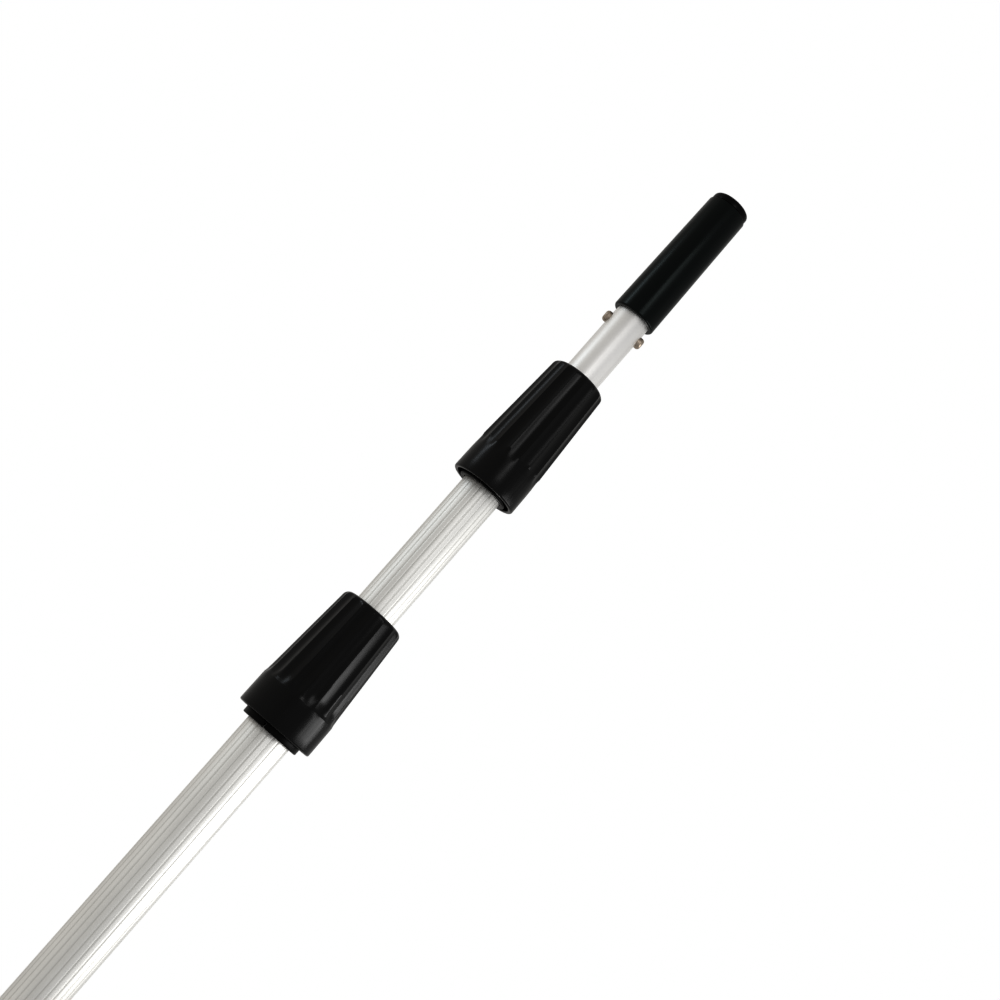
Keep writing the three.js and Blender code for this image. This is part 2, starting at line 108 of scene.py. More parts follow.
def filleted(corners, steps=4):
    """Profile points through corners (radius, height, fillet), each corner rounded by its fillet."""
    points = []
    for i, (r, z, fillet) in enumerate(corners):
        here = Vector((r, z))
        if fillet == 0:
            points.append(here)
            continue
        back = (Vector(corners[i - 1][:2]) - here).normalized()
        ahead = (Vector(corners[(i + 1) % len(corners)][:2]) - here).normalized()
        half = back.angle(ahead) / 2
        centre = here + (back + ahead).normalized() * fillet / math.sin(half)
        start = here + back * fillet / math.tan(half) - centre
        swing = math.copysign(math.pi - 2 * half, back.cross(ahead))
        for turn in stations(0, -swing, steps):
            points.append(centre + Matrix.Rotation(turn, 2) @ start)
    return points


def ring_face(mesh, lower, upper, i):
    """The face between two neighbouring rings at corner i. A ring on the axis has one vertex."""
    corners = [lower[i % len(lower)], lower[(i + 1) % len(lower)]]
    corners += [upper[(i + 1) % len(upper)], upper[i % len(upper)]]
    mesh.faces.new(list(dict.fromkeys(corners)))


def lathe(name, profile, sides, shape=None):
    """A body of revolution about Z. shape(radius, height, turn) may change a point's radius."""
    mesh = bmesh.new()
    rings = []
    for r, z in profile:
        if r < ON_AXIS:
            rings.append([mesh.verts.new((0, 0, z))])
            continue
        ring = []
        for i in range(sides):
            turn = FULL_TURN * i / sides
            radius = shape(r, z, turn) if shape else r
            ring.append(mesh.verts.new((radius * math.cos(turn), radius * math.sin(turn), z)))
        rings.append(ring)
    neighbours = list(zip(rings, rings[1:]))
    if len(rings[0]) > 1 and len(rings[-1]) > 1:
        neighbours.append((rings[-1], rings[0]))
    for lower, upper in neighbours:
        for i in range(sides):
            ring_face(mesh, lower, upper, i)
    bmesh.ops.recalc_face_normals(mesh, faces=mesh.faces)
    return as_object(name, mesh)


def as_object(name, mesh):
    """The mesh as a smooth object with sharp edges where its faces meet steeply."""
    data = bpy.data.meshes.new(name)
    mesh.to_mesh(data)
    mesh.free()
    data.shade_smooth()
    data.set_sharp_from_angle(angle=SHARP_ANGLE)
    piece = bpy.data.objects.new(name, data)
    bpy.context.scene.collection.objects.link(piece)
    return piece


def turn_to_x(piece, side, height):
    """Turns a piece made about Z onto X, towards the side given, and raises it to a height."""
    for vertex in piece.data.vertices:
        x, y, z = vertex.co
        vertex.co = (side * z, y, height - side * x)
    return piece


def block(name, size, centre, turn):
    """A box that is placed and then turned about Z."""
    mesh = bmesh.new()
    bmesh.ops.create_cube(mesh, size=1.0)
    place = Matrix.Rotation(turn, 4, "Z") @ Matrix.Translation(centre) @ Matrix.Diagonal((*size, 1))
    bmesh.ops.transform(mesh, matrix=place, verts=mesh.verts)
    return as_object(name, mesh)


def cut(piece, cutter):
    """Cuts the cutter out of a piece and removes the cutter."""
    modifier = piece.modifiers.new("cut", "BOOLEAN")
    modifier.operation = "DIFFERENCE"
    modifier.solver = "EXACT"
    modifier.object = cutter
    bpy.context.view_layer.update()
    evaluated = piece.evaluated_get(bpy.context.evaluated_depsgraph_get())
    data = bpy.data.meshes.new_from_object(evaluated)
    piece.modifiers.clear()
    piece.data = data
    bpy.data.objects.remove(cutter)
    piece.data.shade_smooth()
    piece.data.set_sharp_from_angle(angle=SHARP_ANGLE)
    return piece


def stand_for(piece, node, material):
    """Shows a piece in place of a CAD node, on that node's body and with the material given."""
    piece.data.materials.clear()
    piece.data.materials.append(material)
    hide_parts(node)
    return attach(piece, BODY[node])


# Material helpers -------------------------------------------------------------------------


class Graph:
    """Short forms for adding and linking nodes."""

    def __init__(self, tree):
        self.tree = tree

    def add(self, kind, **values):
        node = self.tree.nodes.new(kind)
        for key, value in values.items():
            setattr(node, key, value)
        return node

    def link(self, output, target):
        self.tree.links.new(output, target)

    def colours(self, value, *stops):
        """A colour for each value, from stops (position, (red, green, blue))."""
        ramp = self.add("ShaderNodeValToRGB")
        elements = ramp.color_ramp.elements
        while len(elements) < len(stops):
            elements.new(0.5)
        for element, (position, colour) in zip(elements, stops):
            element.position = position
            element.color = (*colour, 1)
        self.link(value, ramp.inputs["Fac"])
        return ramp.outputs["Color"]

    def between(self, value, low, high, from_low=0.3, from_high=0.7):
        """A value spread over a new range. A noise lies mostly between 0.3 and 0.7."""
        spread = self.add("ShaderNodeMapRange")
        spread.inputs["From Min"].default_value = from_low
        spread.inputs["From Max"].default_value = from_high
        spread.inputs["To Min"].default_value = low
        spread.inputs["To Max"].default_value = high
        self.link(value, spread.inputs["Value"])
        return spread.outputs["Result"]


class Surface(Graph):
    """The nodes of one material, round its Principled shader."""

    def __init__(self, name):
        self.material = bpy.data.materials.new(name)
        self.material.use_nodes = True
        super().__init__(self.material.node_tree)
        self.shader = self.tree.nodes["Principled BSDF"]

    def set(self, **values):
        """Sets sockets of the shader to values that are the same all over the surface."""
        for key, value in values.items():
            self.shader.inputs[key.replace("_", " ")].default_value = value

    def place(self, scale):
        """Where a point is on the piece, stretched by a scale for each axis."""
        where = self.add("ShaderNodeTexCoord")
        mapping = self.add("ShaderNodeMapping")
        mapping.inputs["Scale"].default_value = scale
        self.link(where.outputs["Object"], mapping.inputs["Vector"])
        return mapping.outputs["Vector"]

    def noise(self, scale, detail):
        """Noise with a scale for each axis, in features per metre."""
        texture = self.add("ShaderNodeTexNoise")
        texture.inputs["Scale"].default_value = 1.0
        texture.inputs["Detail"].default_value = detail
        self.link(self.place(scale), texture.inputs["Vector"])
        return texture.outputs["Fac"]

    def from_axis(self):
        """How far a point is from the piece's Z axis."""
        across = self.add("ShaderNodeVectorMath", operation="LENGTH")
        self.link(self.place((1, 1, 0)), across.inputs[0])
        return across.outputs["Value"]

    def multiplied(self, colour, by):
        """A colour multiplied by another one."""
        mix = self.add("ShaderNodeMix", data_type="RGBA", blend_type="MULTIPLY")
        mix.inputs["Factor"].default_value = 1.0
        self.link(colour, mix.inputs["A"])
        self.link(by, mix.inputs["B"])
        return mix.outputs["Result"]

    def bump(self, *layers):
        """Surface relief from layers (height, strength, depth in metres)."""
        normal = None
        for height, strength, depth in layers:
            relief = self.add("ShaderNodeBump")
            relief.inputs["Strength"].default_value = strength
            relief.inputs["Distance"].default_value = depth
            self.link(height, relief.inputs["Height"])
            if normal:
                self.link(normal, relief.inputs["Normal"])
            normal = relief.outputs["Normal"]
        self.link(normal, self.shader.inputs["Normal"])


GRAIN_DEPTH = 0.03 * MM
FLOW_DEPTH = 0.04 * MM
DIE_LINE_DEPTH = 0.03 * MM
FILM_DEPTH = 0.03 * MM
PORE_DEPTH = 0.08 * MM
UNTINTED = (1, 1, 1)
GROOVE_DEPTH = 0.24 * MM
# Painted shade: the share of its colour that the metal keeps at the foot of a groove.
GROOVE_PAINTED_SHADE = (0.8, 0.8, 0.79)


def paler(colour, factor):
    """The colour made brighter by a factor, as far as white."""
    return tuple(min(1.0, channel * factor) for channel in colour)


def moulded_plastic(name, colour, roughness, specular, sheen=UNTINTED):
    """Satin plastic with the fine grain of its mould, soft blotches and flow marks."""
    nodes = Surface(name)
    blotches = nodes.noise((45, 45, 30), detail=4)
    grain = nodes.noise((2600, 2600, 2600), detail=2)
    flow = nodes.noise((420, 420, 25), detail=3)
    shades = nodes.colours(blotches, (0.3, colour), (0.75, paler(colour, 1.25)))
    nodes.link(shades, nodes.shader.inputs["Base Color"])
    nodes.link(nodes.between(flow, roughness - 0.05, roughness + 0.06), nodes.shader.inputs["Roughness"])
    nodes.set(Specular_IOR_Level=specular, Specular_Tint=(*sheen, 1))
    nodes.bump((grain, 0.25, GRAIN_DEPTH), (flow, 0.15, FLOW_DEPTH))
    return nodes.material


def drawn_aluminium(name, colour, roughness, groove_floor=None):
    """Drawn aluminium: fine die lines along the tube, faint stains, and painted shade down in its
    grooves.

    groove_floor is the radius at the foot of the grooves.
    """
    nodes = Surface(name)
    die_lines = nodes.noise((900, 900, 2), detail=3)
    stains = nodes.noise((60, 60, 14), detail=4)
    shades = nodes.colours(stains, (0.3, colour), (0.7, paler(colour, 1.08)))
    # Painted shade: the base colour darkens towards the foot of each groove.
    if groove_floor:
        top = groove_floor + GROOVE_DEPTH
        above_floor = nodes.between(nodes.from_axis(), 0.0, 1.0, groove_floor, top)
        painted_groove_shade = nodes.colours(above_floor, (0.0, GROOVE_PAINTED_SHADE), (1.0, UNTINTED))
        shades = nodes.multiplied(shades, painted_groove_shade)
    nodes.link(shades, nodes.shader.inputs["Base Color"])
    dullness = nodes.between(die_lines, roughness - 0.03, roughness + 0.04)
    nodes.link(dullness, nodes.shader.inputs["Roughness"])
    nodes.set(Metallic=1.0)
    nodes.bump((die_lines, 0.12, DIE_LINE_DEPTH))
    return nodes.material


def plain_metal(name, colour, roughness):
    """Small steel parts, with a mottled surface film."""
    nodes = Surface(name)
    film = nodes.noise((500, 500, 500), detail=4)
    shades = nodes.colours(film, (0.3, colour), (0.7, paler(colour, 1.5)))
    nodes.link(shades, nodes.shader.inputs["Base Color"])
    nodes.link(nodes.between(film, roughness - 0.06, roughness + 0.08), nodes.shader.inputs["Roughness"])
    nodes.set(Metallic=1.0)
    nodes.bump((film, 0.15, FILM_DEPTH))
    return nodes.material


def rubber(name):
    """Dull black rubber with dust on it and fine pores."""
    nodes = Surface(name)
    dust = nodes.noise((70, 70, 70), detail=5)
    pores = nodes.noise((1900, 1900, 1900), detail=3)
    stops = [(0.3, (0.012, 0.012, 0.012)), (0.75, (0.03, 0.029, 0.028))]
    nodes.link(nodes.colours(dust, *stops), nodes.shader.inputs["Base Color"])
    nodes.link(nodes.between(dust, 0.68, 0.85), nodes.shader.inputs["Roughness"])
    nodes.set(Specular_IOR_Level=0.3)
    nodes.bump((pores, 0.5, PORE_DEPTH))
    return nodes.material


MATERIAL = {
    "collar_plastic": moulded_plastic("black_collar_nylon", (0.0006, 0.0006, 0.00065), 0.25, 0.32),
    "tip_plastic": moulded_plastic(
        "black_tip_nylon", (0.0006, 0.00068, 0.00068), 0.28, 0.26, sheen=(0.86, 1, 0.98)
    ),
    "cap_plastic": moulded_plastic("black_cap_plastic", (0.0007, 0.0007, 0.0007), 0.3, 0.17),
    "ferrule_plastic": moulded_plastic("black_ferrule_nylon", (0.0006, 0.0006, 0.0006), 0.34, 0.15),
    "collet_acetal": moulded_plastic("natural_acetal", (0.68, 0.65, 0.58), 0.4, 0.5),
    "plug_nylon": moulded_plastic("grey_nylon", (0.18, 0.18, 0.18), 0.5, 0.4),
    "grip_rubber": rubber("black_grip_rubber"),
    "inner_aluminium": drawn_aluminium("smooth_aluminium", (0.785, 0.778, 0.768), 0.48),
    "button_metal": plain_metal("button_steel", (0.35, 0.305, 0.26), 0.45),
    "steel": plain_metal("plain_steel", (0.48, 0.48, 0.48), 0.36),
}


# Tubes ------------------------------------------------------------------------------------

WALL = 1.5 * MM
GROOVED_COLOUR = (0.765, 0.76, 0.745)
GROOVED_ROUGHNESS = 0.52
GROOVE_SHARE = 0.36
POINTS_PER_GROOVE = 10
OUTER_GROOVES = 24
MIDDLE_GROOVES = 22
SMOOTH_TUBE_SIDES = 128
BUTTON_HOLE_RADIUS = 4.3 * MM
BUTTON_HOLE_OVERRUN = 2 * MM
CUTTER_SIDES = 48
END_ROUND = 0.25 * MM
FIXED_GAP = 0.17 * MM
RUN_GAP = 0.15 * MM


def tube_profile(low, high, radius):
    """The profile of a tube's wall, with its ends deburred."""
    corners = [(radius - WALL, low), (radius, low), (radius, high), (radius - WALL, high)]
    return filleted([(r, z, END_ROUND) for r, z in corners], steps=2)


def grooved_tube(node, grooves):
    """A tube whose outside has narrow lengthwise grooves with rounded lips."""
    low, high, radius = extent(node)

    def shape(r, z, turn):
        if r < radius - WALL / 2:
            return r
        across = (turn * grooves / FULL_TURN + 0.5) % 1 - 0.5
        into = max(0.0, 1 - abs(across) / (GROOVE_SHARE / 2))
        return r - GROOVE_DEPTH * (0.5 - 0.5 * math.cos(math.pi * into))

    floor = radius - GROOVE_DEPTH
    # The groove floor lets the finish paint shade into the foot of the grooves.
    finish = drawn_aluminium(node + "_aluminium", GROOVED_COLOUR, GROOVED_ROUGHNESS, floor)
    piece = lathe(node + "_drawn", tube_profile(low, high, radius), grooves * POINTS_PER_GROOVE, shape)
    return stand_for(piece, node, finish)


def smooth_tube():
    """The thin tube, with a hole for each snap button."""
    node = "inner_tube"
    low, high, radius = extent(node)
    button_low, button_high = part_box("right_snap_button")
    height = (button_low.z + button_high.z) / 2
    reach = radius + BUTTON_HOLE_OVERRUN
    hole = [(0, -reach), (BUTTON_HOLE_RADIUS, -reach), (BUTTON_HOLE_RADIUS, reach), (0, reach)]
    piece = lathe(node + "_drawn", tube_profile(low, high, radius), SMOOTH_TUBE_SIDES)
    cutter = turn_to_x(lathe("hole_cutter", hole, CUTTER_SIDES), 1, height)
    return stand_for(cut(piece, cutter), node, MATERIAL[SLOT[node]])


# Twist lock -------------------------------------------------------------------------------

COLLAR_SIDES = 192
FERRULE_SIDES = 96
FLUTES = 16
FLUTE_DEPTH = 1.4 * MM
FLUTE_CUTTER = 11.7 * MM
FLUTE_NOSE = 22.0 * MM
RIDGE_SOFTNESS = 0.7 * MM
RIB_STEP = 2 * MM
RIB_ROUND = 1 * MM
RIB_STATIONS = 44
THREAD = {"starts": 3, "lead": 12 * MM, "height": 1.2 * MM, "root": 2.0 * MM, "crest": 1.3 * MM}
THREAD_PITCH = THREAD["lead"] / THREAD["starts"]
THREAD_CLEARANCE = 0.4 * MM
THREAD_START = 24 * MM
THREAD_LENGTH = 10 * MM
THREAD_STATIONS = 80
# A ring whose radius is this close to a threaded wall's belongs to that wall.
SAME_WALL = 0.01 * MM
COLLAR_EDGE = 0.6 * MM
COLLAR_FOOT_ROUND = 1.2 * MM
RIM_LEAD = 1 * MM
RIM_FLAT = 0.5 * MM
# Where the skirt has rings for the flutes to cut into, as shares of its height.
SKIRT_SHARES = stations(0.3, 0.9, 14)
SKIRT_WALL = 3.0 * MM
SKIRT_HOLLOW = 20 * MM
BORE_START = 22 * MM
BORE_STATIONS = 60
CHAMBER_SLOPE = 1 * MM
CHAMBER_START = 53 * MM
CHAMBER_TOP = 82 * MM
CHAMBER_DEPTH = 4.3 * MM
MOUTH_GAP = 0.5 * MM
FERRULE_WALL = 2.3 * MM
FERRULE_FLANGE = 6 * MM
FERRULE_FLANGE_ROUND = 0.8 * MM
FERRULE_FOOT_ROUND = 0.4 * MM
FERRULE_SHOULDER_ROUND = 0.5 * MM
FERRULE_TOP_ROUND = 0.3 * MM
FERRULE_MOUTH_ROUND = 0.2 * MM
FERRULE_MOUTH_WALL = 0.9 * MM
FERRULE_END = 1 * MM
TUBE_IN_LOCK = 46 * MM
SLOT_SIZE = (1.6 * MM, 12 * MM, 6 * MM)
# How far the slot in a ferrule's flange is turned away from -Y, in radians.
SLOT_TURN = -0.26


@dataclass
class Lock:
    """One of the two twist locks, which is fixed on tube and grips the one inside it.

    skirt_height and flute_foot are heights above the collar's foot, and rim is the height of the
    rounding at its top. skirt_top, rib and top are outside radii: of the skirt at its top, of the
    ribs at their foot and of the collar at its top. first_flute is in flute steps from X.
    """

    name: str
    tube: str
    inside: str
    skirt_height: float
    skirt_top: float
    rib: float
    top: float
    rim: float
    flute_foot: float
    first_flute: float


LOCKS = [
    Lock(
        name="lower", tube="outer_tube", inside="middle_tube", skirt_height=23 * MM, skirt_top=27.8 * MM,
        rib=27.45 * MM, top=22.9 * MM, rim=5 * MM, flute_foot=24 * MM, first_flute=0.5,
    ),
    Lock(
        name="upper", tube="middle_tube", inside="inner_tube", skirt_height=26 * MM, skirt_top=23.75 * MM,
        rib=24.4 * MM, top=20.8 * MM, rim=5.5 * MM, flute_foot=20.5 * MM, first_flute=0,
    ),
]


def soft_max(value, softness):
    """The larger of value and 0, with the corner between them rounded."""
    return (value + math.sqrt(value * value + softness * softness)) / 2


def thread_height(z, turn, first, last, phase):
    """How far a helical rib stands up at a point, from 0 to 1, on a wall threaded from first to last."""
    if not first <= z <= last:
        return 0.0
    along = (z - first - THREAD["lead"] * turn / FULL_TURN - phase) / THREAD_PITCH
    away = abs((along + 0.5) % 1 - 0.5) * THREAD_PITCH
    slope = (THREAD["root"] - THREAD["crest"]) / 2
    rib = min(1.0, max(0.0, (THREAD["root"] / 2 - away) / slope))
    fade = min(1.0, (z - first) / THREAD["crest"], (last - z) / THREAD["crest"])
    return rib * fade


def flute_shape(lock, low, high):
    """The height of a collar's ribs, and how the flutes between them change its radius."""
    foot = low + lock.skirt_height
    nose = low + lock.flute_foot + math.sqrt(2 * FLUTE_NOSE * FLUTE_DEPTH)

    def crest(z):
        return lock.rib + (lock.top - lock.rib) * max(0.0, (z - foot) / (high - foot))

    def radius(r, z, turn):
        centre = ((turn * FLUTES / FULL_TURN - lock.first_flute + 0.5) % 1 - 0.5) * FULL_TURN / FLUTES
        across = centre * crest(z)
        bend = (1 / FLUTE_CUTTER + 1 / crest(z)) / 2
        before = max(0.0, nose - z)
        depth = FLUTE_DEPTH - across * across * bend - before * before / (2 * FLUTE_NOSE)
        return r - soft_max(r - crest(z) + depth, RIDGE_SOFTNESS)

    return crest, radius


def collar_outside(lock, low, high, skirt_radius, crest):
    """The outside of a collar's profile, from its foot up to its rim and in to the chamber's top."""
    skirt_end = low + lock.skirt_height
    rib_foot = skirt_end + RIB_STEP
    rib_start = skirt_end + 2 * RIB_STEP
    rim_start = high - lock.rim - RIM_LEAD
    mouth = extent(lock.inside)[2] + MOUTH_GAP
    skirt = [
        (skirt_radius + (lock.skirt_top - skirt_radius) * share, low + lock.skirt_height * share, 0)
        for share in SKIRT_SHARES
    ]
    outline = filleted([
        (skirt_radius - SKIRT_WALL, low, COLLAR_EDGE),
        (skirt_radius, low, COLLAR_FOOT_ROUND),
        *skirt,
        (lock.skirt_top, skirt_end, RIB_ROUND),
        (crest(rib_foot), rib_foot, RIB_ROUND),
        (crest(rib_start), rib_start, 0),
    ])
    outline += [Vector((crest(z), z)) for z in stations(rib_start, rim_start, RIB_STATIONS)[1:]]
    outline += filleted([
        (crest(rim_start), rim_start, 0),
        (lock.top, high, lock.rim - RIM_FLAT),
        (mouth, high, COLLAR_EDGE),
        (mouth, low + CHAMBER_TOP, 0),
    ], steps=10)[1:]
    return outline


def collar_inside(lock, low, skirt_radius, bore):
    """The inside of a collar's profile: the collet's chamber, the threaded bore and the hollow foot."""
    chamber = extent(lock.inside)[2] + CHAMBER_DEPTH
    bore_top = low + CHAMBER_START - CHAMBER_SLOPE
    outline = [Vector((chamber, low + CHAMBER_TOP)), Vector((chamber, low + CHAMBER_START))]
    outline += [Vector((bore, z)) for z in stations(bore_top, low + BORE_START, BORE_STATIONS)]
    outline += [Vector((skirt_radius - SKIRT_WALL, low + SKIRT_HOLLOW))]
    return outline


def lock_collar(lock):
    """The fluted collar: scooped flutes that start above a plain skirt and run out over the rim."""
    node = lock.name + "_lock_collar"
    low, high, skirt_radius = extent(node)
    bore = extent(lock.tube)[2] + FERRULE_WALL + THREAD["height"] + THREAD_CLEARANCE
    thread_first = low + THREAD_START
    crest, fluted = flute_shape(lock, low, high)

    def shape(r, z, turn):
        if abs(r - bore) > SAME_WALL:
            return fluted(r, z, turn)
        rib = thread_height(z, turn, thread_first, thread_first + THREAD_LENGTH, THREAD_PITCH / 2)
        return r - THREAD["height"] * rib

    outline = collar_outside(lock, low, high, skirt_radius, crest)
    outline += collar_inside(lock, low, skirt_radius, bore)
    piece = lathe(node + "_moulded", outline, COLLAR_SIDES, shape)
    return stand_for(piece, node, MATERIAL[SLOT[node]])


def ferrule(lock):
    """The threaded, slotted sleeve fixed on the tube. Its flange shows below the lower collar."""
    node = lock.name + "_ferrule"
    low, high, flange_radius = extent(node)
    tube_radius = extent(lock.tube)[2]
    collar_foot = extent(lock.name + "_lock_collar")[0]
    bore = tube_radius + FIXED_GAP
    wall = tube_radius + FERRULE_WALL
    shoulder = low + FERRULE_FLANGE
    seat_height = collar_foot + TUBE_IN_LOCK
    thread_first = collar_foot + THREAD_START

    def shape(r, z, turn):
        if abs(r - wall) > SAME_WALL:
            return r
        rib = thread_height(z, turn, thread_first, thread_first + THREAD_LENGTH, 0)
        return r + THREAD["height"] * rib

    wall_first, wall_last = shoulder + FERRULE_END, high - FERRULE_END
    outline = filleted([
        (bore, low, FERRULE_FOOT_ROUND),
        (flange_radius, low, FERRULE_FLANGE_ROUND),
        (flange_radius, shoulder, FERRULE_SHOULDER_ROUND),
        (wall, shoulder, FERRULE_SHOULDER_ROUND),
    ])
    outline += [Vector((wall, z)) for z in stations(wall_first, wall_last, THREAD_STATIONS)]
    outline += filleted([
        (wall, wall_last, 0),
        (wall, high, FERRULE_TOP_ROUND),
        (wall - FERRULE_MOUTH_WALL, high, FERRULE_MOUTH_ROUND),
        (wall - FERRULE_MOUTH_WALL, seat_height, 0),
        (bore, seat_height, 0),
    ])[1:]
    piece = lathe(node + "_moulded", outline, FERRULE_SIDES, shape)
    slot = block("slot_cutter", SLOT_SIZE, (0, -flange_radius, low), SLOT_TURN)
    return stand_for(cut(piece, slot), node, MATERIAL[SLOT[node]])


# Tip and snap buttons ---------------------------------------------------------------------

TIP_SIDES = 144
TIP_FACETS = 12
TIP_FACET_DEPTH = 0.05 * MM
# Points further out than this from the socket's wall are on the tip's outside.
TIP_THINNEST_WALL = 0.6 * MM
TIP_HOLE_ROUND = 0.3 * MM
TIP_FOOT_ROUND = 1.2 * MM
TIP_TOP_ROUND = 0.7 * MM
TUBE_IN_TIP = 60.3 * MM
TIP_TOP_RADIUS = 14.45 * MM
CAP_SPIGOT = 9.2 * MM
CAP_SPIGOT_ROUND = 1.0 * MM
CAP_THICKNESS = 5.3 * MM
CAP_RIM_ROUND = 0.4 * MM
CAP_ROUND = 2.3 * MM
BUTTON_SIDES = 56
BUTTON_RADIUS = 4.0 * MM
BUTTON_FLANGE = 5.0 * MM
BUTTON_FLANGE_THICKNESS = 1.0 * MM
BUTTON_FLANGE_ROUND = 0.25 * MM
BUTTON_NECK_ROUND = 0.2 * MM
BUTTON_DOME = 2.2 * MM
SPRING_THICKNESS = 0.7 * MM
SPRING_STEPS = 12


def tip_cone():
    """The tapered socket, with very slight facets and a bore for the tube and the cap's spigot."""
    node = "tip_cone"
    low, high, foot_radius = extent(node)
    socket = extent("inner_tube")[2] + FIXED_GAP
    spigot_hole = CAP_SPIGOT + RUN_GAP
    shoulder = low + TUBE_IN_TIP

    def shape(r, z, turn):
        if r < socket + TIP_THINNEST_WALL:
            return r
        across = (turn * TIP_FACETS / FULL_TURN) % 1 * 2 - 1
        return r - TIP_FACET_DEPTH * (1 - across * across)

    outline = filleted([
        (socket, low, TIP_HOLE_ROUND),
        (foot_radius, low, TIP_FOOT_ROUND),
        (TIP_TOP_RADIUS, high, TIP_TOP_ROUND),
        (spigot_hole, high, TIP_HOLE_ROUND),
        (spigot_hole, shoulder, 0),
        (socket, shoulder, 0),
    ], steps=5)
    piece = lathe(node + "_moulded", outline, TIP_SIDES, shape)
    return stand_for(piece, node, MATERIAL[SLOT[node]])


def tip_cap():
    """A flat cap with a rounded rim, on a spigot that goes into the tip cone."""
    node = "tip_cap"
    low, high, radius = extent(node)
    under = high - CAP_THICKNESS
    outline = filleted([
        (0, low, 0),
        (CAP_SPIGOT, low, CAP_SPIGOT_ROUND),
        (CAP_SPIGOT, under, 0),
        (radius, under, CAP_RIM_ROUND),
        (radius, high, CAP_ROUND),
        (0, high, 0),
    ], steps=6)
    piece = lathe(node + "_moulded", outline, TIP_SIDES)
    return stand_for(piece, node, MATERIAL[SLOT[node]])


def snap_button(side_name, side):
    """A domed peg on the X axis, with the flange that keeps it in the tube."""
    node = side_name + "_snap_button"
    low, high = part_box(node)
    height = (low.z + high.z) / 2
    inner = min(abs(low.x), abs(high.x))
    outer = max(abs(low.x), abs(high.x))
    flange_top = inner + BUTTON_FLANGE_THICKNESS
    outline = filleted([
        (0, inner, 0),
        (BUTTON_FLANGE, inner, BUTTON_FLANGE_ROUND),
        (BUTTON_FLANGE, flange_top, BUTTON_FLANGE_ROUND),
        (BUTTON_RADIUS, flange_top, BUTTON_NECK_ROUND),
        (BUTTON_RADIUS, outer, BUTTON_DOME),
        (0, outer, 0),
    ], steps=8)
    piece = turn_to_x(lathe(node + "_turned", outline, BUTTON_SIDES), side, height)
    return stand_for(piece, node, MATERIAL[SLOT[node]])


def spring_half(side_name, side):
    """Half of the hairpin spring, from the middle of its bend."""
    node = "button_spring"
    low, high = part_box(node)
    outer = high.x
    inner = outer - SPRING_THICKNESS
    bend = low.z + outer
    quarter = stations(0, math.pi / 2, SPRING_STEPS)
    line = [(math.sin(turn), -math.cos(turn), bend) for turn in quarter]
    line += [(1, 0, z) for z in stations(bend, high.z, SPRING_STEPS)[1:]]
    mesh = bmesh.new()
    rings = []
    for across, up, z in line:
        corners = [(inner, low.y), (outer, low.y), (outer, high.y), (inner, high.y)]
        rings.append([mesh.verts.new((side * r * across, y, z + r * up)) for r, y in corners])
    for lower, upper in zip(rings, rings[1:]):
        for i in range(len(lower)):
            ring_face(mesh, lower, upper, i)
    mesh.faces.new(rings[0])
    mesh.faces.new(rings[-1])
    bmesh.ops.recalc_face_normals(mesh, faces=mesh.faces)
    piece = as_object(node + "_" + side_name, mesh)
    piece.data.materials.append(MATERIAL[SLOT[node]])
    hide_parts(node)
    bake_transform(piece)


# Butt end ---------------------------------------------------------------------------------

BUTT_SIDES = 96
GRIP_RIBS = 22
GRIP_RIB_DEPTH = 0.9 * MM
GRIP_RIB_POWER = 0.6
GRIP_RIB_FADE = 1 * MM
STATIONS_PER_RIB = 12
GRIP_BAND = 12 * MM
GRIP_END_ROUND = 1.6 * MM
FACE_GAP = 0.3 * MM
BUTT_FOOT_ROUND = 2.0 * MM
BUTT_RIM_ROUND = 0.8 * MM
BUTT_SPIGOT_ROUND = 1.0 * MM
HANGING_HOLE = 4.5 * MM
HANGING_HOLE_HEIGHT = 14 * MM
HANGING_HOLE_OVERRUN = 1 * MM
HOLE_FLARE = 2.4 * MM
HOLE_FLARE_LENGTH = 3.12 * MM
HOLE_FLARE_ROUND = 3.6 * MM


def hand_grip():
    """A rubber sleeve with shallow rings between two plain bands."""
    node = "hand_grip"
    low, high, radius = extent(node)
    bore = extent("outer_tube")[2] + FIXED_GAP
    first, last = low + GRIP_BAND, high - GRIP_BAND
    ribs = []
    for z in stations(first, last, GRIP_RIBS * STATIONS_PER_RIB):
        wave = abs(math.sin(math.pi * GRIP_RIBS * (z - first) / (last - first)))
        fade = min(1, (z - first) / GRIP_RIB_FADE, (last - z) / GRIP_RIB_FADE)
        ribs.append(Vector((radius - GRIP_RIB_DEPTH * (1 - wave ** GRIP_RIB_POWER) * fade, z)))
    foot = filleted([(bore, low, 0), (radius, low, GRIP_END_ROUND), (radius, first, 0)], steps=6)
    head = filleted([(radius, last, 0), (radius, high, GRIP_END_ROUND), (bore, high, 0)], steps=6)
    piece = lathe(node + "_moulded", foot[:-1] + ribs + head[1:], BUTT_SIDES)
    return stand_for(piece, node, MATERIAL[SLOT[node]])


